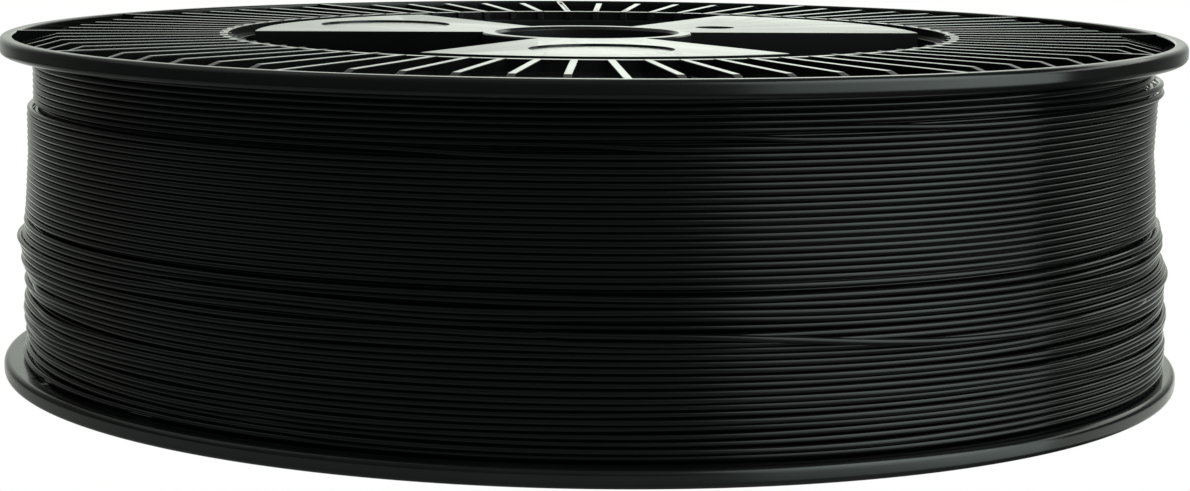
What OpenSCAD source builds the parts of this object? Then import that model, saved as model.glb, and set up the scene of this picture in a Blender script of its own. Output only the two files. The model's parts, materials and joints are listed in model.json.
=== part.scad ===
// Large filament spool lying on its side: two ribbed flanges, a two-part
// core with a three-lobed web at each end, and 1.75 mm filament wound on it.
// Units: mm. Origin on the spool's axis in the lower rest plane, +Z along the
// axis. The front of the spool faces -Y.

/* [Spool] */
// Outside diameter of the flanges
flange_d = 350; // [346:1:356]
// Overall width across the two rims
spool_w = 100; // [98:1:104]
// Turn of the whole spool about its axis, degrees
clock = 3.4; // [0:0.1:5]

/* [Flange] */
// Height of the rim bead along the axis
rim_h = 5.1; // [4.9:0.1:5.6]
// Radial width of the rim bead
rim_w = 3.8; // [3.4:0.1:4.4]
// Outer edge radius of the rim bead
rim_round = 1.7; // [1.2:0.1:1.8]
// Thickness of the thin plate the ribs stand on
plate_t = 1.4; // [1.2:0.1:1.7]
// Number of radial stiffening ribs
rib_n = 72; // [72:36:108]
// Thickness of one rib
rib_t = 2.0; // [1.6:0.1:2.2]
// How far the rib tops lie below the rim's top
rib_drop = 0.1; // [0.1:0.1:0.9]
// Radius where the short ribs start to slope down
rib_slope_r = 158; // [150:1:162]
// Every how many ribs one runs at full height into the rim
full_rib_every = 6; // [2:1:9]
// Length of the two filament retention slots
slot_l = 11; // [8:0.5:11]
// Width of the two filament retention slots
slot_w = 2.2; // [2:0.1:2.6]

/* [Core] */
// Outside diameter of the winding barrel
barrel_d = 222.4; // [221:0.1:223]
// Wall thickness of the barrel
barrel_t = 3.0; // [2.6:0.1:3.4]
// Outer radius of the three web lobes
lobe_r = 99.8; // [98:0.1:101.5]
// Width of each web lobe, degrees
lobe_a = 60; // [50:1:60]
// Thickness of the lobe's face plate
lobe_t = 2.8; // [2.4:0.1:3.4]
// Depth of the lobe's outer skirt wall
skirt_h = 11.4; // [9:0.1:13]
// Wall thickness of the lobe's skirts and the groove floor
wall_t = 2.4; // [2:0.1:2.8]
// Diameter of the shallow round recess on two of the lobes
recess_d = 40.5; // [34:0.5:42]
// Depth of the shallow round recess
recess_h = 0.5; // [0.3:0.1:0.8]
// Distance of the round recess from the axis
recess_r = 70.5; // [66:0.5:72]

/* [Hub] */
// Diameter of the spindle bore
bore_d = 54; // [50:0.5:56]
// Outside diameter of the hub tube
hub_d = 63; // [62:0.5:66]
// Chamfer at the mouth of the bore
bore_cham = 0.9; // [0.5:0.1:1.2]
// Diameter of the driver hole
driver_d = 12; // [8:0.5:13]
// Distance of the driver hole from the axis
driver_r = 47.5; // [45.5:0.5:49]

/* [Filament] */
// Filament diameter
fil_d = 1.75; // [1.6:0.05:1.75]
// Number of wraps side by side in a full layer
wraps = 50; // [48:1:50]
// Number of wraps in the first unfinished layer
step_wraps = 41; // [30:1:46]
// Number of wraps in the second unfinished layer
last_wraps = 23; // [16:1:28]
// Centreline radius of the outermost full layer
layer_r = 164.45; // [150:0.05:165]
// Swept angle of the free end, degrees
free_a = 65; // [30:1:70]

/* [Hidden] */
$fn = 180;

flange_color = [0.05, 0.05, 0.055];
core_color = [0.09, 0.09, 0.1];
inner_color = [0.03, 0.03, 0.03];
filament_color = [0.02, 0.02, 0.02];

// Flanges and core halves are drawn outer face down, rim at z = 0
face_z = rib_drop;             // plane of the rib tops, lobes and hub
cut = 1;                       // how far a cutter starts outside the face

// Flange
rim_r = flange_d / 2;
rim_in = rim_r - rim_w;
rim_in_round = 0.6;            // inner edge radius of the rim bead
barrel_r = barrel_d / 2;
barrel_in = barrel_r - barrel_t;
ring_in = barrel_r - 3.4;      // bore of the flange
ring_out = barrel_r - 1;
ring_z = face_z + 0.1;         // outer face of the ring that ends the ribs
rib_step = 360 / rib_n;
rib_foot_r = ring_in + 1.2;    // ribs end here, inside the ring's wall
slot_inset = 1.3;              // slot centre to the rim bead
slot_cut_h = 4;
groove_size = [50, rib_t - 0.9, 0.8];  // shallow groove along the first rib
groove_r = ring_out + 28;

// Core
spigot_out = ring_in - 0.2;    // locating spigot inside the flange's bore
spigot_in = spigot_out - 2;
spigot_z = 3.0;                // outer end of the spigot
floor_z = face_z + skirt_h;    // inner side of the groove's floor
hub_r = hub_d / 2;
hub_cham = 0.4;
mid_z = spool_w / 2 - 0.01;    // half the width, less half the play between the halves
joint_shift = 0.5;             // the lower half is longer by this, the upper shorter
register_h = 3;                // register between the two core halves
register_r = barrel_in + 1.4;
register_cham = 0.4;
lobe_step = 120;               // angle from one lobe to the next
half_lobe = lobe_a / 2;
bar_start = hub_r - 0.9;       // radial walls of a lobe, sunk into hub and skirt
bar_l = lobe_r - hub_r - 0.3;
side_extra = 2;                // side skirts are deeper than the outer skirt
stiffener_t = 2;
stiffener_z = face_z + 1;      // stiffeners and boss start inside the face plate
stiffener_h = skirt_h - 1;
cross_inset = 11;              // recess centre to the cross stiffener's inner side
boss_d = driver_d + 5;         // boss round the driver hole
tail_a = 177.5;                // where the filament's inner end passes the barrel
tail_z = floor_z + 6;
tail_slot = [12, 6, 3];

// Turns about the axis
core_turn = clock + 30;        // lobe that carries the driver hole
flange_turn_low = core_turn + 180;
flange_turn_up = core_turn + 60;

// Winding
fil_r = fil_d / 2;
side_gap = 0.025;              // end wraps to the flanges
pitch = (spool_w - 2 * rim_h - fil_d - 2 * side_gap) / (wraps - 1);
z_first = rim_h + fil_r + side_gap;
nest = 1.54;                   // rise of a layer whose wraps lie in the grooves below
step1_r = layer_r + nest;
step2_r = layer_r + 2 * nest;
last_r = layer_r + 3 * nest;
last_place = last_wraps - 0.5; // place of the last wrap, in pitches
leave_a = 60;                  // where the free end leaves the winding
last_wrap_a = 190;
last_gap_a = 0.25;             // gap between the last wrap and the free end
cross_r = last_r + fil_d + 0.06;
cross_place = 16;
cross_mid_a = -68.5;
cross_a = 36;                  // swept angle of the crossing strand
cross_tilt = -3.4;
tail_r = 9;                    // bend radius of the inner end
tail_inset = 5.2;              // barrel surface to the bend's centre

// Places a part drawn outer face down at z = 0 as the lower or the upper one
module place_low(turn) rotate([0, 0, turn]) children();
module place_up(turn)
    translate([0, 0, spool_w]) rotate([0, 0, turn]) rotate([180, 0, 0]) children();

// Rim bead, thin plate and inner ring
module flange_profile() {
    plate_z = rim_h - plate_t;
    plate_out = rim_in + 0.5;
    lap = 0.1;
    union() {
        polygon([[ring_in, ring_z], [ring_out, ring_z], [ring_out, plate_z],
                 [plate_out, plate_z], [plate_out, rim_h], [ring_in, rim_h]]);
        // body of the bead and its rounded inner edge
        translate([rim_in, rim_in_round])
            square([rim_w - rim_round, rim_h - rim_in_round]);
        translate([rim_in + rim_in_round, 0])
            square([rim_w - rim_round - rim_in_round, rim_h]);
        translate([rim_in + rim_in_round, rim_in_round]) circle(r = rim_in_round);
        // outer side and its two rounded edges
        translate([rim_r - rim_round - lap, rim_round])
            square([rim_round + lap, rim_h - 2 * rim_round]);
        for (z = [rim_round, rim_h - rim_round])
            translate([rim_r - rim_round, z]) circle(r = rim_round);
    }
}

// One radial rib; the ones between the lobes reach a little inside the ring
module rib(full, long_in) {
    start_r = long_in ? ring_in - 1.1 : rib_foot_r;
    end_r = rim_in + 0.3;
    full_end_r = rim_in + 0.9;
    plate_z = rim_h - plate_t;
    base_z = rim_h - plate_t / 2;      // middle of the thin plate
    toe_z = spigot_z - 0.1;            // just clear of the spigot
    outer_end = full ? [[full_end_r, face_z], [full_end_r, plate_z]]
                     : [[rib_slope_r, face_z], [end_r, plate_z - 0.2]];
    toe = long_in ? [[rib_foot_r, toe_z], [start_r, toe_z]] : [];
    rotate([90, 0, 0]) linear_extrude(height = rib_t, center = true)
        polygon(concat([[start_r, face_z]], outer_end,
                       [[end_r, base_z], [rib_foot_r, base_z]], toe));
}

// True when a flange angle lies in one of the three openings between the lobes;
// a core angle is half a lobe step off
function in_opening(a) =
    let (turn = a % lobe_step)
    min(turn, lobe_step - turn) < lobe_step / 2 - half_lobe - 2;

module flange() {
    slot_max = 0.8 * rib_step * rim_in * PI / 180;   // fits between two ribs
    difference() {
        union() {
            rotate_extrude() flange_profile();
            for (i = [0 : rib_n - 1])
                rotate([0, 0, i * rib_step])
                    rib(full = i % full_rib_every == 0, long_in = in_opening(i * rib_step));
        }
        // retention slots, midway between ribs
        for (k = [-1.5, 2.5])
            rotate([0, 0, k * rib_step]) translate([rim_in - slot_inset, 0, rim_h])
                cube([slot_w, min(slot_l, slot_max), slot_cut_h], center = true);
        translate([groove_r, 0, face_z]) cube(groove_size, center = true);
    }
}

// Section through a lobe: face plate, skirt and floor of the open groove
module lobe_profile() {
    hub_lap = hub_r - 1;
    floor_out = spigot_in + 1.4;
    polygon([[hub_lap, face_z], [lobe_r, face_z], [lobe_r, floor_z - wall_t],
             [floor_out, floor_z - wall_t], [floor_out, floor_z],
             [lobe_r - wall_t, floor_z], [lobe_r - wall_t, face_z + lobe_t],
             [hub_lap, face_z + lobe_t]]);
}

// A radial wall of a lobe at an angle, its width running from y in +Y
module lobe_bar(angle, y, width, z, height)
    rotate([0, 0, angle]) translate([bar_start, y, z]) cube([bar_l, width, height]);

module lobe() {
    rotate([0, 0, -half_lobe]) rotate_extrude(angle = lobe_a) lobe_profile();
    // side skirts
    lobe_bar(half_lobe, -wall_t, wall_t, face_z, skirt_h + side_extra);
    lobe_bar(-half_lobe, 0, wall_t, face_z, skirt_h + side_extra);
    // stiffeners behind the face plate
    for (a = [-half_lobe / 3, half_lobe / 3])
        lobe_bar(a, -stiffener_t / 2, stiffener_t, stiffener_z, stiffener_h);
    // cross stiffener
    rotate([0, 0, -half_lobe + 1]) rotate_extrude(angle = lobe_a - 2)
        translate([recess_r - cross_inset, stiffener_z]) square([stiffener_t, stiffener_h]);
}

// Where a core half ends; the lower one is the male one
function end_z(male) = male ? mid_z + joint_shift : mid_z - joint_shift;

// Hub tube, barrel half and shoulder for the flange
module core_rings(male) {
    end = end_z(male);
    bore_r = bore_d / 2;
    rotate_extrude() polygon([
        [bore_r + bore_cham, face_z], [hub_r - hub_cham, face_z], [hub_r, face_z + hub_cham],
        [hub_r, end], [bore_r, end], [bore_r, face_z + bore_cham]]);

    tip = end + register_h;
    socket_r = register_r + 0.1;
    socket_z = end - register_h - 0.2;
    joint = male
        ? [[barrel_r, end], [register_r, end], [register_r, tip - register_cham],
           [register_r - register_cham, tip], [barrel_in, tip]]
        : [[barrel_r, end], [socket_r, end], [socket_r, socket_z], [barrel_in, socket_z]];
    rotate_extrude() polygon(concat(
        [[spigot_in, spigot_z], [spigot_out, spigot_z], [spigot_out, rim_h], [barrel_r, rim_h]],
        joint,
        [[barrel_in, floor_z + 2], [spigot_in, floor_z - 1]]));
}

// Upright strips inside the barrel, in the three openings
module pilasters(male) {
    base = floor_z - 1;
    top = end_z(male) - (male ? 0.5 : register_h + 1);
    for (i = [0 : rib_n - 1])
        if (in_opening(i * rib_step + lobe_step / 2))
            rotate([0, 0, i * rib_step]) translate([barrel_in - 1.1, -rib_t / 2, base])
                cube([1.8, rib_t, top - base]);
}

module core_half(male) {
    difference() {
        union() {
            core_rings(male);
            for (i = [0 : 2]) rotate([0, 0, i * lobe_step]) lobe();
            translate([driver_r, 0, stiffener_z]) cylinder(d = boss_d, h = stiffener_h);
            pilasters(male);
        }
        // no recess on the lobe with the driver hole
        for (i = [1, 2])
            rotate([0, 0, i * lobe_step]) translate([recess_r, 0, face_z - cut])
                cylinder(d = recess_d, h = recess_h + cut);
        translate([driver_r, 0, face_z - cut]) cylinder(d = driver_d, h = skirt_h + 3);
        // slot for the filament's inner end
        if (male)
            rotate([0, 0, tail_a]) translate([barrel_in, 0, tail_z])
                cube(tail_slot, center = true);
    }
}

module upper_flange() color(flange_color) place_up(flange_turn_up) flange();
module lower_flange() color(flange_color) place_low(flange_turn_low) flange();
module core_upper_half() color(core_color) place_up(core_turn) core_half(male = false);
module core_lower_half() color(core_color) place_low(core_turn) core_half(male = true);

// Everything wound below the outermost full layer
module filament_inner_layers() {
    inside = barrel_r + 0.1;
    outside = layer_r - fil_r - 0.02;
    gap = 0.05;
    color(inner_color) rotate_extrude() translate([inside, rim_h + gap])
        square([outside - inside, spool_w - 2 * (rim_h + gap)]);
}

// Height of a wrap; its place counts pitches from the first wrap of a full layer
function wrap_z(place) = z_first + place * pitch;

// Points round the outer side of one wrap, between two angles
function wrap_arc(radius, place, from = -90, to = 90) =
    [for (a = [from : 22.5 : to]) [radius + fil_r * cos(a), wrap_z(place) + fil_r * sin(a)]];

// The wraps of a layer between two places, as one run of points
function wrap_run(radius, first, last) =
    [for (place = [first : last]) each wrap_arc(radius, place)];

// One full layer of wraps, a sleeve with a round ridge for each wrap
module filament_outer_layer() {
    back = layer_r - fil_r + 0.05;
    color(filament_color) rotate_extrude() polygon(concat(
        [[back, wrap_z(0) - fil_r]],
        wrap_run(layer_r, 0, wraps - 1),
        [[back, wrap_z(wraps - 1) + fil_r]]));
}

// Three unfinished layers in steps, each wrap in a groove of the layer below
module filament_last_layers() {
    back = layer_r + fil_r + 0.06;
    color(filament_color) rotate_extrude() polygon(concat(
        [[back, wrap_z(0.5) - fil_r]],
        wrap_arc(step1_r, 0.5, to = -45),
        wrap_arc(step2_r, 1, from = -45, to = -22.5),
        wrap_arc(last_r, 1.5, from = -67.5),
        wrap_run(last_r, 2.5, last_wraps - 1.5),
        wrap_arc(step2_r, last_wraps - 1, from = 0),
        wrap_arc(step2_r, last_wraps),
        wrap_arc(step1_r, last_wraps + 0.5, from = 0),
        wrap_run(step1_r, last_wraps + 1.5, step_wraps - 0.5),
        [[back, wrap_z(step_wraps - 0.5) + fil_r]]));
}

// An arc of filament round the Z axis, from an angle over a sweep
module strand(radius, from, sweep)
    rotate([0, 0, from]) rotate_extrude(angle = sweep) translate([radius, 0]) circle(r = fil_r);

// The last wrap, up to where the free end leaves it
module filament_last_wrap()
    color(filament_color) translate([0, 0, wrap_z(last_place)])
        strand(last_r, from = leave_a - last_wrap_a, sweep = last_wrap_a - last_gap_a);

// A strand that crosses over its neighbours at the front
module filament_crossing_wrap()
    color(filament_color) rotate([0, 0, cross_mid_a]) translate([0, 0, wrap_z(cross_place)])
        rotate([cross_tilt, 0, 0]) strand(cross_r, from = -cross_a / 2, sweep = cross_a);

// Inner end of the filament, through a slot in the barrel
module filament_start_tail()
    color(filament_color) rotate([0, 0, core_turn + tail_a])
        translate([barrel_r - tail_inset, -tail_r, tail_z])
            strand(tail_r, from = 62, sweep = 113);

// Loose outer end of the filament, lying on the winding
module filament_free_end()
    color(filament_color) translate([0, 0, wrap_z(last_place)])
        strand(last_r, from = leave_a, sweep = free_a);

upper_flange();
lower_flange();
core_upper_half();
core_lower_half();
filament_inner_layers();
filament_outer_layer();
filament_last_layers();
filament_last_wrap();
filament_crossing_wrap();
filament_start_tail();
filament_free_end();
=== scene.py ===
"""Looks of the filament spool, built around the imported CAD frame."""

import json
import math

import bpy
import numpy as np
from mathutils import Matrix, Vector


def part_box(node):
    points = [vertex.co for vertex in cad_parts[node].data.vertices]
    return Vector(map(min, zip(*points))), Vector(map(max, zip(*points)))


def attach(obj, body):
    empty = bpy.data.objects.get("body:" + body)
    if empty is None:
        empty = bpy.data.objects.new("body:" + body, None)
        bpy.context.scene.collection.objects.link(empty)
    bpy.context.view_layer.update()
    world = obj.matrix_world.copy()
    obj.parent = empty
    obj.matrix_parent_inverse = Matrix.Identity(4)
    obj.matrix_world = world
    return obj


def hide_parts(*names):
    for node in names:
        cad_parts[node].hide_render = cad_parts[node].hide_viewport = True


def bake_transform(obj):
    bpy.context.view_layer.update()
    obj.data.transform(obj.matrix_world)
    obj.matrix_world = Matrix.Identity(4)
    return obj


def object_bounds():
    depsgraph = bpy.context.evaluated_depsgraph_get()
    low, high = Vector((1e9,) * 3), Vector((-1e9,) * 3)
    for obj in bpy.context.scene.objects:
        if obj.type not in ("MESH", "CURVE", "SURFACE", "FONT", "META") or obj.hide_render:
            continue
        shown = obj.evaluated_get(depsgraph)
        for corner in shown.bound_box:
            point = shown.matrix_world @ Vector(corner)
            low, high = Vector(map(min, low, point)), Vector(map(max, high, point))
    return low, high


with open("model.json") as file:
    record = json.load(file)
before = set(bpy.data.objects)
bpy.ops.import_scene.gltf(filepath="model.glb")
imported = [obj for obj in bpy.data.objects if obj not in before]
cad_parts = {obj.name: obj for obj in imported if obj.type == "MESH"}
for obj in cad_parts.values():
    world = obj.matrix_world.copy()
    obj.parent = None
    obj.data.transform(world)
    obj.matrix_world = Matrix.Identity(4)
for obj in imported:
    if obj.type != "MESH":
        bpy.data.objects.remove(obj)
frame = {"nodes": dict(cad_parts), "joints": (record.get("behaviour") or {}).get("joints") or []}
LO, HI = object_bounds()
nodes = frame["nodes"]
MM = 0.001
scene = bpy.context.scene

# ------------------------------------------------------------------ sizes from the frame
lo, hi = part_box("filament_free_end")
FIL_R = (hi.z - lo.z) / 2 / MM  # strand radius, mm
lo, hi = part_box("filament_outer_layer")
Z0 = lo.z / MM + FIL_R  # lowest wrap of a full layer
Z1 = hi.z / MM - FIL_R  # highest wrap
WRAPS = 50
PITCH = (Z1 - Z0) / (WRAPS - 1)
lo3, hi3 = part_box("filament_last_layers")
R_TOP = hi3.x / MM  # crest of the highest unfinished layer
joint = frame["joints"][0]
ROOT = np.array(joint["pos_m"]) / MM
R_ROOT = math.hypot(ROOT[0], ROOT[1])
ROOT_AZ = math.degrees(math.atan2(ROOT[0], -ROOT[1]))
lo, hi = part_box("filament_crossing_wrap")
CROSS_Z = (lo.z + hi.z) / 2 / MM
lo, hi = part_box("upper_flange")
RIM_R = hi.x / MM
SPOOL_W = HI.z / MM
RIM_W, RIM_H, RIM_ROUND = 3.8, 5.1, 1.7  # the rim bead, as in the CAD


# ------------------------------------------------------------------ node helpers
class Mat:
    """A node material, with short calls for the maths nodes."""

    def __init__(self, name):
        self.mat = bpy.data.materials.new(name)
        self.mat.use_nodes = True
        self.t = self.mat.node_tree
        self.t.nodes.clear()
        self.out = self.t.nodes.new("ShaderNodeOutputMaterial")

    def n(self, kind, **props):
        node = self.t.nodes.new(kind)
        for k, v in props.items():
            setattr(node, k, v)
        return node

    def link(self, a, b):
        self.t.links.new(a, b)

    def put(self, socket, v):
        if hasattr(v, "is_linked") or isinstance(v, bpy.types.NodeSocket):
            self.link(v, socket)
        else:
            socket.default_value = v

    def math(self, op, a, b=0.0, c=None, clamp=False):
        m = self.n("ShaderNodeMath", operation=op, use_clamp=clamp)
        self.put(m.inputs[0], a)
        self.put(m.inputs[1], b)
        if c is not None:
            self.put(m.inputs[2], c)
        return m.outputs[0]

    def ramp(self, x, a, b, lo=0.0, hi=1.0, smooth=True):
        m = self.n("ShaderNodeMapRange", interpolation_type="SMOOTHSTEP" if smooth else "LINEAR")
        self.put(m.inputs["Value"], x)
        m.inputs["From Min"].default_value = a
        m.inputs["From Max"].default_value = b
        m.inputs["To Min"].default_value = lo
        m.inputs["To Max"].default_value = hi
        return m.outputs["Result"]

    def noise(self, vec, scale, detail=3.0, rough=0.5):
        m = self.n("ShaderNodeTexNoise")
        self.link(vec, m.inputs["Vector"])
        m.inputs["Scale"].default_value = scale
        m.inputs["Detail"].default_value = detail
        m.inputs["Roughness"].default_value = rough
        return m.outputs["Fac"]

    def mix(self, f, a, b):
        m = self.n("ShaderNodeMix", data_type="RGBA")
        self.put(m.inputs[0], f)
        self.put(m.inputs[6], a)
        self.put(m.inputs[7], b)
        return m.outputs[2]


def moulded_plastic(name, base, rough=0.12, relief=1.0, vary=0.25, ior=1.59, seed=0.0):
    """Black injection-moulded polystyrene: glossy, with a faint flow pattern, fine scratches and edges worn a little paler."""
    m = Mat(name)
    geo = m.n("ShaderNodeNewGeometry")
    tc = m.n("ShaderNodeTexCoord")
    shift = m.n("ShaderNodeVectorMath", operation="ADD")
    m.link(tc.outputs["Object"], shift.inputs[0])
    shift.inputs[1].default_value = (seed, seed * 0.7, seed * 1.3)
    p = shift.outputs[0]
    # radius and angle about the spool's axis, for the flow pattern that runs out from the gate
    sep = m.n("ShaderNodeSeparateXYZ")
    m.link(tc.outputs["Object"], sep.inputs[0])
    rad = m.math("POWER", m.math("ADD", m.math("MULTIPLY", sep.outputs[0], sep.outputs[0]), m.math("MULTIPLY", sep.outputs[1], sep.outputs[1])), 0.5)
    ang = m.math("ARCTAN2", sep.outputs[1], sep.outputs[0])
    polar = m.n("ShaderNodeCombineXYZ")
    m.link(m.math("MULTIPLY", rad, 14.0), polar.inputs[0])
    m.link(m.math("MULTIPLY", ang, 5.0), polar.inputs[1])
    m.link(m.math("MULTIPLY", sep.outputs[2], 20.0), polar.inputs[2])
    flow = m.noise(polar.outputs[0], 1.6, 4.0, 0.55)
    cloud = m.noise(p, 22.0, 4.0, 0.55)
    grain = m.noise(p, 900.0, 2.0, 0.6)
    # long thin scratches from handling
    stretch = m.n("ShaderNodeMapping")
    m.link(p, stretch.inputs["Vector"])
    stretch.inputs["Rotation"].default_value = (0.0, 0.0, 0.6)
    stretch.inputs["Scale"].default_value = (240.0, 14.0, 60.0)
    scratch = m.ramp(m.noise(stretch.outputs["Vector"], 1.0, 2.0, 0.5), 0.66, 0.74)
    # worn edges
    wear = m.ramp(geo.outputs["Pointiness"], 0.52, 0.62)
    tint = m.mix(m.ramp(cloud, 0.35, 0.7), (*base, 1.0), (*[c * 1.7 for c in base], 1.0))
    tint = m.mix(m.math("MULTIPLY", wear, 0.35), tint, (0.055, 0.056, 0.06, 1.0))
    r = m.math("ADD", m.ramp(flow, 0.3, 0.7, rough * (1 - vary), rough * (1 + vary)), m.math("MULTIPLY", scratch, 0.25 * vary))
    r = m.math("ADD", r, m.math("MULTIPLY", wear, 0.08), clamp=True)
    bev = m.n("ShaderNodeBevel", samples=4)
    bev.inputs["Radius"].default_value = 0.00035
    h = m.math("ADD", m.math("MULTIPLY", grain, 0.00000025 * relief), m.math("MULTIPLY", flow, 0.000015 * relief))
    h = m.math("ADD", h, m.math("MULTIPLY", scratch, -0.0000010 * relief))
    bump = m.n("ShaderNodeBump")
    bump.inputs["Strength"].default_value = 0.5
    bump.inputs["Distance"].default_value = 1.0
    m.link(h, bump.inputs["Height"])
    m.link(bev.outputs["Normal"], bump.inputs["Normal"])
    b = m.n("ShaderNodeBsdfPrincipled")
    m.link(tint, b.inputs["Base Color"])
    m.link(r, b.inputs["Roughness"])
    b.inputs["IOR"].default_value = ior
    m.link(bump.outputs["Normal"], b.inputs["Normal"])
    m.link(b.outputs[0], m.out.inputs["Surface"])
    return m.mat


def filament_plastic(name, base, rough=0.15):
    """Black extruded filament: glossy, with fine die lines along the strand and slight changes of gloss along its length."""
    m = Mat(name)
    uv = m.n("ShaderNodeUVMap", uv_map="strand")
    sep = m.n("ShaderNodeSeparateXYZ")
    m.link(uv.outputs["UV"], sep.inputs[0])
    along, round_ = sep.outputs[0], sep.outputs[1]  # turns along the strand, and round it from 0 to 1
    v = m.n("ShaderNodeCombineXYZ")
    m.link(m.math("MULTIPLY", along, 26.0), v.inputs[0])
    m.link(m.math("MULTIPLY", round_, 7.0), v.inputs[1])
    lines = m.noise(v.outputs[0], 3.0, 3.0, 0.55)
    w = m.n("ShaderNodeCombineXYZ")
    m.link(m.math("MULTIPLY", along, 40.0), w.inputs[0])
    slow = m.noise(w.outputs[0], 1.0, 2.0, 0.5)
    tc = m.n("ShaderNodeTexCoord")
    dust = m.ramp(m.noise(tc.outputs["Object"], 2600.0, 1.0, 0.5), 0.80, 0.86)
    tint = m.mix(slow, (*base, 1.0), (*[c * 1.5 for c in base], 1.0))
    tint = m.mix(m.math("MULTIPLY", dust, 0.10), tint, (0.35, 0.35, 0.34, 1.0))
    r = m.math("ADD", m.ramp(lines, 0.3, 0.7, rough * 0.8, rough * 1.25), m.ramp(slow, 0.4, 0.8, 0.0, 0.04))
    h = m.math("ADD", m.math("MULTIPLY", lines, 0.000006), m.math("MULTIPLY", slow, 0.00001))
    bump = m.n("ShaderNodeBump")
    bump.inputs["Strength"].default_value = 0.35
    bump.inputs["Distance"].default_value = 1.0
    m.link(h, bump.inputs["Height"])
    b = m.n("ShaderNodeBsdfPrincipled")
    m.link(tint, b.inputs["Base Color"])
    m.link(r, b.inputs["Roughness"])
    b.inputs["IOR"].default_value = 1.47
    m.link(bump.outputs["Normal"], b.inputs["Normal"])
    m.link(b.outputs[0], m.out.inputs["Surface"])
    return m.mat


flange_mat = moulded_plastic("flange_polystyrene", (0.0062, 0.0066, 0.0068), 0.14, 0.2, 0.15, seed=1.7)
core_mat = moulded_plastic("core_polystyrene", (0.0070, 0.0075, 0.0075), 0.14, 0.12, 0.08, seed=5.1)
fil_mat = filament_plastic("filament_black", (0.0034, 0.0037, 0.0038), 0.13)
# painted shade: a darker, duller copy of the black filament, for the inner layers and the tail that lie in shade deep
# in the winding
shaded_filament_mat = moulded_plastic("filament_inner_painted_shade", (0.0012, 0.0012, 0.0013), 0.45, seed=9.4)


def dress(obj, mat):
    obj.data.materials.clear()
    obj.data.materials.append(mat)


for n in ("upper_flange", "lower_flange"):
    dress(nodes[n], flange_mat)
for n in ("core_upper_half", "core_lower_half"):
    dress(nodes[n], core_mat)
# painted shade: the inner layers, seen only through gaps in the wraps, wear the darker copy of the filament
dress(nodes["filament_inner_layers"], shaded_filament_mat)


# ------------------------------------------------------------------ the rims' round beads
def rim_profile():
    """Outline of the rim bead (radius, height above its resting plane), from the inner wall round to the side that faces the winding."""
    rim_in, small, big, high = RIM_R - RIM_W, 0.6, RIM_ROUND, RIM_H
    pts = [(rim_in - 0.13, high - 1.5), (rim_in - 0.13, small)]
    pts += [(rim_in + small - (small + 0.13) * math.cos(t), small - (small + 0.03) * math.sin(t)) for t in np.linspace(0, math.pi / 2, 9)[1:]]
    pts += [(RIM_R - big, -0.03)]
    pts += [(RIM_R - big + (big + 0.03) * math.sin(t), big - (big + 0.03) * math.cos(t)) for t in np.linspace(0, math.pi / 2, 15)[1:]]
    pts += [(RIM_R + 0.03, high - big)]
    pts += [(RIM_R - big + (big + 0.03) * math.cos(t), high - big + (big + 0.03) * math.sin(t)) for t in np.linspace(0, math.pi / 2, 15)[1:]]
    pts += [(rim_in + 0.1, high + 0.03)]
    return np.array(pts)


def lathe(name, profile, steps, mat):
    """A surface turned round the spool's axis, with rounded runs smooth and flats flat."""
    a = np.arange(steps) * 2 * np.pi / steps
    v = np.stack([profile[None, :, 0] * np.cos(a)[:, None], profile[None, :, 0] * np.sin(a)[:, None], profile[None, :, 1] + 0 * a[:, None]], -1)
    m = len(profile)
    i = np.arange(steps)[:, None]
    k = np.arange(m - 1)[None, :]
    j = (i + 1) % steps
    quads = np.stack([i * m + k, j * m + k, j * m + k + 1, i * m + k + 1], -1).reshape(-1, 4)
    me = bpy.data.meshes.new(name)
    me.from_pydata((v.reshape(-1, 3) * MM).tolist(), [], quads.tolist())
    me.update()
    me.polygons.foreach_set("use_smooth", [True] * len(me.polygons))
    o = bpy.data.objects.new(name, me)
    scene.collection.objects.link(o)
    o.data.materials.append(mat)
    return o


bead = rim_profile()
for name, profile in (("upper_rim_bead", np.stack([bead[:, 0], SPOOL_W - bead[:, 1]], 1)), ("lower_rim_bead", bead)):
    o = lathe(name, profile[::-1] if name.startswith("upper") else profile, 900, flange_mat)
    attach(o, "spool")


# ------------------------------------------------------------------ the winding
# Azimuth runs from the front (-Y) towards +X, in degrees.
def near(a, centre):
    """Angle from centre, wrapped to -180..180."""
    return (a - centre + 180.0) % 360.0 - 180.0


def bell(a, centre, width):
    return np.exp(-((near(a, centre) / width) ** 2))


def step(x):
    return 0.5 + 0.5 * np.tanh(x)


# crest radius of the winding at the left and the right side, by height: a
# tight even upper half, a loose stepped lower half that stands prouder on the right
LEFT = np.array([(5, 169.4), (8, 169.2), (11, 167.4), (15, 168.2), (22, 169.0), (26, 168.0), (30, 167.7), (34, 169.2),
                 (41, 169.7), (43.5, 168.3), (47, 168.7), (49, 168.1), (55, 167.7), (66, 167.1), (77, 167.2), (95, 167.1)])
RIGHT = np.array([(5, 171.6), (15, 171.8), (17, 170.8), (22, 172.0), (25, 170.6), (30, 171.1), (36, 171.1), (39, 169.0),
                  (43, 170.2), (46.5, 169.4), (49, 167.8), (55, 167.6), (62, 167.2), (68, 166.6), (76, 166.9), (88, 167.4), (95, 167.4)])
NEST = 1.54


def edge_z(a):
    """Height of the edge of the last but two layer, which climbs from left to right across the front."""
    t = near(a, 0.0)
    return 79.6 + 9.0 * step((t - 14.0) / 34.0) * (1 - step((np.abs(t) - 135.0) / 18.0)) + 0.3 * np.sin(np.radians(3 * t))


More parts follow.
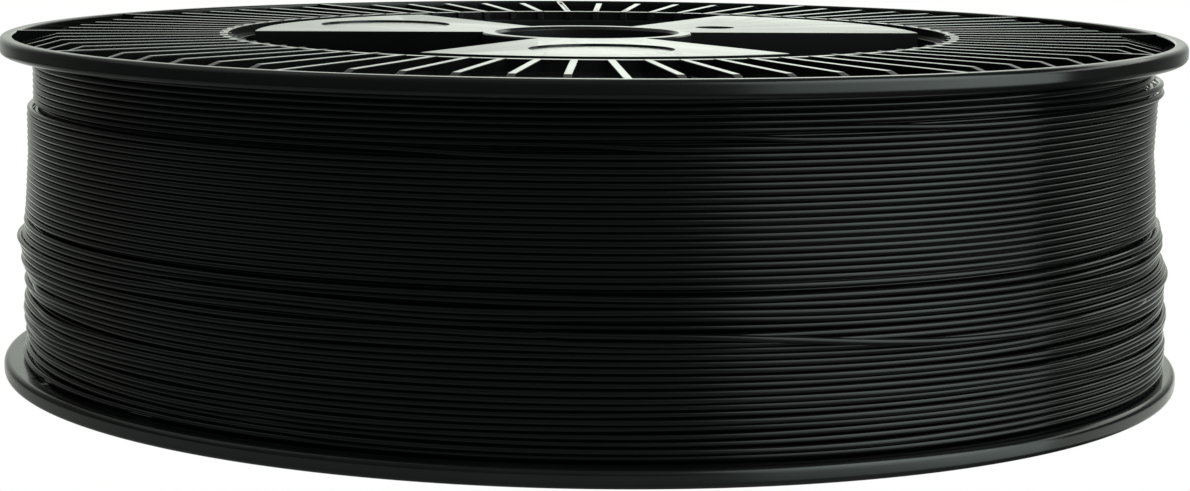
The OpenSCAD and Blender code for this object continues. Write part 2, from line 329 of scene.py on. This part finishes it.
def crest(z, a):
    w = 0.5 + 0.5 * np.sin(np.radians(a))
    base = (1 - w) * np.interp(z, LEFT[:, 0], LEFT[:, 1]) + w * np.interp(z, RIGHT[:, 0], RIGHT[:, 1])
    over = step((z - edge_z(a)) / 0.7)
    low = 165.35 + 0.25 * w
    out = base * (1 - over) + np.minimum(base, low) * over
    # a slack loop near the upper flange on the right
    out = out + 2.6 * bell(a, 82.0, 17.0) * np.exp(-(((z - 87.3) / 1.9) ** 2))
    return out


# Places where neighbouring wraps part: height, azimuth, width, gap, reach (mm, degrees)
rng = np.random.default_rng(41)
PARTS = [
    (37.9, -29, 15, 1.35, 6.0), (25.4, -60, 15, 1.1, 6.0), (7.9, -64, 17, 1.0, 4.0), (39.3, 7, 11, 1.1, 5.0),
    (28.0, 54, 14, 1.4, 6.0), (44.3, 64, 13, 1.1, 4.5), (17.3, -42, 9, 0.7, 4.0), (24.3, 50, 9, 0.7, 4.0),
    (43.6, -12, 12, 0.8, 4.5), (19.3, 61, 9, 0.7, 4.0), (13.0, 12, 14, 0.5, 4.0), (33.4, -20, 10, 0.5, 4.0),
    (10.6, 30, 12, 0.5, 3.5), (90.2, 56, 11, 0.9, 3.0),
]
for _ in range(26):
    PARTS.append((rng.uniform(9, 45), rng.uniform(76, 284), rng.uniform(9, 20), rng.uniform(0.5, 1.4), rng.uniform(4, 6)))
WAVES = [(rng.uniform(0.7, 1.6), rng.uniform(0, 6.28), int(rng.integers(1, 5)), rng.uniform(-0.16, 0.16)) for _ in range(6)]


def shift(z, a):
    """How far a wrap of base height z stands above or below it at azimuth a."""
    d = 0.5 * PITCH * step((z - edge_z(a) + 0.4) / 0.5)
    g = 0.46 * np.tanh((z - 47.6) / 0.55)
    d = d + np.where(z > 47.6, g * np.clip((80 - z) / 32.0, 0, 1), g * np.clip((z - 6) / 40.0, 0, 1))
    loose = step((46.0 - z) / 2.5) * np.clip((z - 6.0) / 6.0, 0, 1)
    for zc, ac, wa, gap, reach in PARTS:
        u = z - zc
        d = d + 0.5 * gap * np.tanh(u / 0.5) * np.exp(-((u / reach) ** 2)) * bell(a, ac, wa)
    for amp, ph, k, c in WAVES:
        d = d + 0.13 * amp * np.sin(np.radians(k * a) + ph + c * z) * loose
    return d


N = 540  # stations round one turn
AZ = -180.0 + 360.0 * np.arange(N) / N


def ripple(count, n, amp, seed, keep):
    """Smooth random wander along a strand: count turns of n stations."""
    g = np.random.default_rng(seed).normal(size=count * n)
    k = np.exp(-np.linspace(-2, 2, keep) ** 2)
    g = np.convolve(np.concatenate([g[-keep:], g, g[:keep]]), k / np.sqrt((k**2).sum()), "same")[keep:-keep]
    return amp * g.reshape(count, n)


TURNS = WRAPS - 1
base_z = Z0 + (np.arange(TURNS)[:, None] + 0.5) * PITCH
slope = np.where(base_z > 47.6, -1.0, 1.0) * PITCH * (AZ[None, :] / 360.0) * 0.0
zz = base_z + slope
zz = zz + shift(zz, AZ[None, :])
zz = zz + ripple(TURNS, N, 0.035, 7, 69) * np.where(base_z > 47.6, 0.28, 1.5)
# the wraps never leave the room between the flanges
zz = np.clip(zz, Z0 + 0.02, Z1 + 0.02)
TOUCH = 2 * FIL_R - 0.03
VIS_R = FIL_R - 0.012
rr = crest(zz, AZ[None, :]) - FIL_R + ripple(TURNS, N, 0.03, 11, 86) * np.where(base_z > 47.6, 0.6, 2.0)
for k in range(1, TURNS):
    for j in (k - 1, k - 2, k - 1):
        if j < 0:
            continue
        dz = np.abs(zz[k] - zz[j])
        h = np.sqrt(np.clip(TOUCH**2 - dz**2, 0, None))
        clash = (dz < TOUCH) & (np.abs(rr[k] - rr[j]) < h)
        rr[k] = np.where(clash, rr[j] + h, rr[k])


def soften(a, width):
    """Smooth along the turn, closed at the ends."""
    k = np.exp(-np.linspace(-2, 2, 2 * width + 1) ** 2)
    k /= k.sum()
    pad = np.concatenate([a[:, -width:], a, a[:, :width]], 1)
    return np.stack([np.convolve(row, k, "valid") for row in pad])


rr = soften(rr, 8)
rr = np.minimum(rr, RIM_R - 2.9 - FIL_R)


def tube(name, paths, sides=12, closed=False, uv_rows=None, mat=None):
    """One mesh of strands. Each path is an array of (azimuth, radius, height), in degrees and mm."""
    verts, faces, uvs = [], [], []
    base = 0
    ring = np.arange(sides) * 2 * np.pi / sides
    for pi, path in enumerate(paths):
        a, r, z = (np.asarray(c, float) for c in path[:3])
        rad = path[3] if len(path) > 3 else np.full(a.size, VIS_R)
        th = np.radians(a)
        ux, uy = np.sin(th), -np.cos(th)
        pos = np.stack([r * ux, r * uy, z], 1)
        tan = np.gradient(pos, axis=0)
        if closed:
            tan = np.roll(pos, -1, 0) - np.roll(pos, 1, 0)
        tan /= np.linalg.norm(tan, axis=1)[:, None]
        up = np.array([0, 0, 1.0])
        out = np.cross(tan, up)
        out /= np.linalg.norm(out, axis=1)[:, None]
        flip = np.sign((out * np.stack([ux, uy, 0 * ux], 1)).sum(1))[:, None]
        out = out * np.where(flip == 0, 1, flip)
        upv = np.cross(out, tan) * np.where(flip == 0, 1, flip)
        upv *= np.sign(upv[:, 2:3] + 1e-9)
        c, s = np.cos(ring), np.sin(ring)
        pts = pos[:, None, :] + rad[:, None, None] * (out[:, None, :] * c[None, :, None] + upv[:, None, :] * s[None, :, None])
        n = a.size
        verts.append(pts.reshape(-1, 3))
        seg = n if closed else n - 1
        i = np.arange(seg)[:, None]
        k = np.arange(sides)[None, :]
        i2, k2 = (i + 1) % n, (k + 1) % sides
        quad = np.stack([i * sides + k, i2 * sides + k, i2 * sides + k2, i * sides + k2], -1)
        faces.append(base + quad.reshape(-1, 4))
        turn0 = pi + (uv_rows or 0)
        u0 = turn0 + i / n + 0 * k
        u1 = turn0 + (i + 1) / n + 0 * k
        v0 = (k + 0 * i) / sides
        v1 = (k + 1 + 0 * i) / sides
        uv = np.stack([np.stack([u0, v0], -1), np.stack([u1, v0], -1), np.stack([u1, v1], -1), np.stack([u0, v1], -1)], -2)
        uvs.append(uv.reshape(-1, 2))
        base += n * sides
    v = np.concatenate(verts) * MM
    f = [list(q) for q in np.concatenate(faces)]
    uv = list(np.concatenate(uvs))
    if not closed:  # close both ends of each strand
        b = 0
        for path in paths:
            n = len(path[0])
            first = [b + k for k in range(sides)]
            last = [b + (n - 1) * sides + k for k in range(sides)]
            for loop in (first[::-1], last):
                f.append(loop)
                uv += [np.array([0.0, 0.5])] * sides
            b += n * sides
    me = bpy.data.meshes.new(name)
    me.from_pydata(v.tolist(), [], f)
    layer = me.uv_layers.new(name="strand")
    layer.data.foreach_set("uv", np.asarray(uv, np.float32).ravel())
    me.validate()
    me.update()
    bm_fix(me)
    me.polygons.foreach_set("use_smooth", [len(p.vertices) == 4 for p in me.polygons])
    o = bpy.data.objects.new(name, me)
    scene.collection.objects.link(o)
    o.data.materials.append(mat or fil_mat)
    return o


def bm_fix(me):
    """Turns every face outward."""
    import bmesh

    bm = bmesh.new()
    bm.from_mesh(me)
    bmesh.ops.recalc_face_normals(bm, faces=bm.faces)
    bm.to_mesh(me)
    bm.free()


def ring_paths(rows):
    return [(AZ, rr[k], zz[k]) for k in rows]


last_k = int(round((ROOT[2] - Z0) / PITCH - 0.5))  # this wrap ends in the free end
groups = [range(0, 11), range(11, last_k), range(last_k + 1, 34), range(34, TURNS)]
for i, rows in enumerate(groups):
    o = tube(f"filament_wraps_{i + 1}", ring_paths(rows), closed=True, uv_rows=rows[0])
    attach(o, "spool")
    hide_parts("filament_last_layers" if i < 3 else "filament_outer_layer")

# wraps of the layer below, which show as dark lines where the upper ones part
N2 = 360
AZ2 = -180.0 + 360.0 * np.arange(N2) / N2
sub = []
for k in range(WRAPS):
    z = np.full(N2, Z0 + k * PITCH)
    low = np.minimum.reduce([crest(z + dz, AZ2) for dz in (-1.6, -0.8, 0.0, 0.8, 1.6)])
    sub.append((AZ2, low - FIL_R - NEST - 0.15, z))
o = tube("filament_wraps_beneath", sub, sides=8, closed=True)
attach(o, "spool")
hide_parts("filament_outer_layer")

# ------------------------------------------------------------------ last wrap and free end, one strand across the joint
turn = np.arange(-178.0, ROOT_AZ, 1.25)
k = last_k
kr = np.interp(turn, AZ, rr[k])
kz = np.interp(turn, AZ, zz[k])
# it settles to the CAD's radius and height before the root, and lies beneath its neighbours' level where it starts
t = np.clip((turn - (ROOT_AZ - 45)) / 40.0, 0, 1)
t = t * t * (3 - 2 * t)
kr = kr * (1 - t) + R_ROOT * t
kz = kz * (1 - t) + ROOT[2] * t
fixed = (turn[:-16], kr[:-16], kz[:-16])
o = tube("filament_last_turn", [fixed], sides=12)
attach(o, "spool")
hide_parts("filament_last_wrap")
lo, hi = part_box("filament_free_end")
free_az = ROOT_AZ + 65.0
tail = np.concatenate([turn[-18:], np.arange(ROOT_AZ, free_az, 1.25)])
tr = np.concatenate([kr[-18:], np.full(tail.size - 18, R_ROOT)])
tz = np.concatenate([kz[-18:], np.full(tail.size - 18, ROOT[2])])
o = tube("filament_loose_end", [(tail, tr, tz)], sides=16)
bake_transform(o)
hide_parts("filament_free_end")

# ------------------------------------------------------------------ the strand that crosses its neighbours
ca = np.arange(-14.0, 78.0, 1.0)
zz_c = CROSS_Z + 2.7 - 5.2 * step((ca - 21.0) / 11.5) + 0.15 * np.sin(ca / 11.0)
over = np.full(ca.size, 0.0)
for k in range(TURNS):
    dz = np.abs(np.interp(ca, AZ, zz[k]) - zz_c)
    h = np.sqrt(np.clip(TOUCH**2 - dz**2, 0, None))
    over = np.maximum(over, np.where(dz < TOUCH, np.interp(ca, AZ, rr[k]) + h, 0.0))
under = crest(zz_c, ca) - FIL_R - 1.2
dive = step((-ca - 4.0) / 3.0) + step((ca - 66.0) / 4.0)
rc = np.where(over > 0, over, under)
kern = np.exp(-np.linspace(-2, 2, 9) ** 2)
kern /= kern.sum()
rc = np.convolve(np.pad(rc, 4, mode="edge"), kern, "valid")
rc = np.minimum(rc, RIM_R - 2.9 - FIL_R) * (1 - dive) + (under - 0.8) * dive
o = tube("filament_crossing_strand", [(ca, rc, zz_c)], sides=12)
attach(o, "spool")
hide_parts("filament_crossing_wrap")

# the inner tail keeps its CAD shape, and wears the darker, duller copy of the filament that paints shade on it
dress(nodes["filament_start_tail"], shaded_filament_mat)


# ------------------------------------------------------------------ floor, light and camera
# Brightness of the surroundings by azimuth, clockwise from the front: dim at the left and in
# front, a soft box at the front right that ends sharply, a bright backdrop behind.
ROOM = [(-180, 1.55), (-175, 1.00), (-170, 0.74), (-164, 0.64), (-156, 0.48), (-148, 0.27), (-140, 0.11), (-131, 0.08), (-115, 0.06),
        (-98, 0.045), (-60, 0.055), (0, 0.055), (18, 0.09), (27, 0.20), (36, 0.90), (45, 1.12), (63, 1.46), (75, 1.70), (96, 1.25), (98, 0.045),
        (115, 0.035), (131, 0.05), (140, 0.09), (148, 0.17), (156, 0.38), (164, 0.66), (170, 0.90), (175, 1.45), (180, 1.55)]


def surroundings(m, x, y, z):
    """Brightness of the room in a direction, for the world and for what the floor's edge lets through."""
    az = m.math("MULTIPLY", m.math("ARCTAN2", x, m.math("MULTIPLY", y, -1.0)), 180 / math.pi)
    el = m.math("MULTIPLY", m.math("ARCSINE", z), 180 / math.pi)
    lum = None
    for (a0, v0), (a1, v1) in zip(ROOM, ROOM[1:]):
        part = m.ramp(az, a0, a1, 0.0, v1 - v0, smooth=False)
        lum = m.math("ADD", part, v0) if lum is None else m.math("ADD", lum, part)
    back = m.ramp(m.math("ABSOLUTE", az), 99.0, 102.0)
    high_back = m.ramp(el, 17.0, 34.0, 1.0, 0.12)
    high_front = m.math("MULTIPLY", m.ramp(el, 4.0, 40.0, 1.0, 1.45), m.ramp(el, 56.0, 64.0, 1.0, 0.0))
    lum = m.math("MULTIPLY", lum, m.math("ADD", high_front, m.math("MULTIPLY", back, m.math("SUBTRACT", high_back, high_front))))
    top = m.ramp(el, 30.0, 75.0, 0.0, 0.11)
    # high panels at both sides, which put a thin line on the upper side of each wrap
    left = m.math("MULTIPLY", m.math("MULTIPLY", m.ramp(az, -60.0, -110.0), m.ramp(az, -172.0, -150.0)), m.ramp(el, 24.0, 36.0, 0.0, 0.22))
    right = m.math("MULTIPLY", m.math("MULTIPLY", m.ramp(az, 97.0, 99.5), m.ramp(az, 172.0, 150.0)), m.math("MULTIPLY", m.ramp(el, 17.0, 21.0, 0.0, 1.25), m.ramp(el, 28.0, 33.0, 1.0, 0.0)))
    lum = m.math("ADD", lum, m.math("ADD", top, m.math("ADD", left, right)))
    return m.math("ADD", lum, 0.020), m.mix(back, (0.87, 1.0, 0.96, 1.0), (0.94, 1.0, 0.91, 1.0))


def studio_floor():
    bpy.ops.mesh.primitive_circle_add(vertices=96, radius=6.0, fill_type="NGON", location=(0, 0, -0.0004))
    f = bpy.context.object
    f.name = "studio_floor"
    m = Mat("studio_floor_white_painted_glow")
    geo = m.n("ShaderNodeNewGeometry")
    sep = m.n("ShaderNodeSeparateXYZ")
    m.link(geo.outputs["Position"], sep.inputs[0])
    r = m.math("POWER", m.math("ADD", m.math("MULTIPLY", sep.outputs[0], sep.outputs[0]), m.math("MULTIPLY", sep.outputs[1], sep.outputs[1])), 0.5)
    inc = m.n("ShaderNodeSeparateXYZ")
    m.link(geo.outputs["Incoming"], inc.inputs[0])
    down = inc.outputs[2]
    room, tint = surroundings(m, *(m.math("MULTIPLY", inc.outputs[i], -1.0) for i in range(3)))
    # painted light: to every ray but the camera's the floor glows, with a painted pool of light close to the spool,
    # brighter bands at its sides and behind it, and a painted reflection of the room; the camera sees it plain white
    painted_light_near = m.math("MULTIPLY", m.ramp(r, 0.20, 0.60, 0.17, 0.0), m.ramp(sep.outputs[0], 0.04, 0.15, 1.0, 0.10))
    sides = m.math("ADD", m.ramp(sep.outputs[0], 0.06, 0.19, 0.0, 0.05), m.ramp(sep.outputs[0], -0.06, -0.19, 0.0, 0.08))
    sides = m.math("MULTIPLY", sides, m.math("MULTIPLY", m.ramp(r, 0.60, 0.25), m.ramp(down, 0.25, 0.60, 1.0, 0.30)))
    # a lit strip of the table close to the lower rim, on the right
    painted_lit_strip = m.math("MULTIPLY", m.ramp(sep.outputs[0], 0.07, 0.15, 0.0, 0.50), m.math("MULTIPLY", m.ramp(r, 0.27, 0.22), m.ramp(down, 0.50, 0.32)))
    sides = m.math("ADD", sides, painted_lit_strip)
    back = m.math("MULTIPLY", m.ramp(sep.outputs[1], 0.0, 0.30, 0.0, 0.8), m.ramp(r, 0.60, 0.25))
    # the table top mirrors the room at a glancing angle, and the room is seen past its edge
    through = m.math("MULTIPLY", room, m.math("MAXIMUM", m.ramp(r, 0.45, 0.95), m.ramp(down, 0.42, 0.14, 0.03, 0.62)))
    lum = m.math("ADD", m.math("ADD", painted_light_near, sides), m.math("ADD", back, through))
    seen = m.n("ShaderNodeLightPath").outputs["Is Camera Ray"]
    strength = m.math("ADD", m.math("MULTIPLY", seen, 1.0), m.math("MULTIPLY", m.math("SUBTRACT", 1.0, seen), lum))
    e = m.n("ShaderNodeEmission")
    m.link(m.mix(seen, tint, (1.0, 1.0, 1.0, 1.0)), e.inputs["Color"])
    m.link(strength, e.inputs["Strength"])
    m.link(e.outputs[0], m.out.inputs["Surface"])
    f.data.materials.append(m.mat)
    return f


studio_floor()


def studio_world():
    w = bpy.data.worlds.new("studio")
    scene.world = w
    w.use_nodes = True
    m = Mat.__new__(Mat)
    m.t = w.node_tree
    m.t.nodes.clear()
    m.out = m.t.nodes.new("ShaderNodeOutputWorld")
    tc = m.n("ShaderNodeTexCoord")
    sep = m.n("ShaderNodeSeparateXYZ")
    m.link(tc.outputs["Generated"], sep.inputs[0])
    lum, tint = surroundings(m, *sep.outputs)
    seen = m.n("ShaderNodeLightPath").outputs["Is Camera Ray"]
    strength = m.math("ADD", m.math("MULTIPLY", seen, 1.0), m.math("MULTIPLY", m.math("SUBTRACT", 1.0, seen), lum))
    bg = m.n("ShaderNodeBackground")
    m.link(m.mix(seen, tint, (1.0, 1.0, 1.0, 1.0)), bg.inputs["Color"])
    m.link(strength, bg.inputs["Strength"])
    m.link(bg.outputs[0], m.out.inputs["Surface"])


studio_world()

D, H, PITCH_DEG, F_PX, ROLL, YAW = 824.1, 153.5, 8.21, 2730.0, 0.203, -3.282
SHIFT = 165.9 / 1190  # the picture is cropped from a wider one
cam_data = bpy.data.cameras.new("camera")
cam_data.sensor_width = 36.0
cam_data.sensor_fit = "HORIZONTAL"
cam_data.lens = 36.0 * F_PX / 1190.0
cam_data.clip_start, cam_data.clip_end = 0.02, 30.0
cam = bpy.data.objects.new("camera", cam_data)
scene.collection.objects.link(cam)
th, ps, ro = math.radians(PITCH_DEG), math.radians(YAW), math.radians(ROLL)
fwd = np.array([math.sin(ps) * math.cos(th), math.cos(ps) * math.cos(th), -math.sin(th)])
right0 = np.array([math.cos(ps), -math.sin(ps), 0.0])
up0 = np.array([math.sin(ps) * math.sin(th), math.cos(ps) * math.sin(th), math.cos(th)])
right = math.cos(ro) * right0 + math.sin(ro) * up0
upc = -math.sin(ro) * right0 + math.cos(ro) * up0
m4 = Matrix.Identity(4)
for i in range(3):
    m4[i][0], m4[i][1], m4[i][2] = right[i], upc[i], -fwd[i]
m4[0][3], m4[1][3], m4[2][3] = 0.0, -D * MM, H * MM
cam.matrix_world = m4
scene.camera = cam
# the shift holds only from this viewpoint, so that the object stays centred from any other
drv = cam_data.driver_add("shift_x").driver
drv.type = "SCRIPTED"
for name, kind in (("px", "LOC_X"), ("py", "LOC_Y"), ("pz", "LOC_Z")):
    var = drv.variables.new()
    var.name, var.type = name, "TRANSFORMS"
    var.targets[0].id = cam
    var.targets[0].transform_type = kind
    var.targets[0].transform_space = "WORLD_SPACE"
drv.expression = f"{SHIFT:.5f} if abs(px) + abs(py + {D * MM:.5f}) + abs(pz - {H * MM:.5f}) < 0.002 else 0.0"

scene.view_settings.view_transform = "Standard"
scene.view_settings.look = "None"
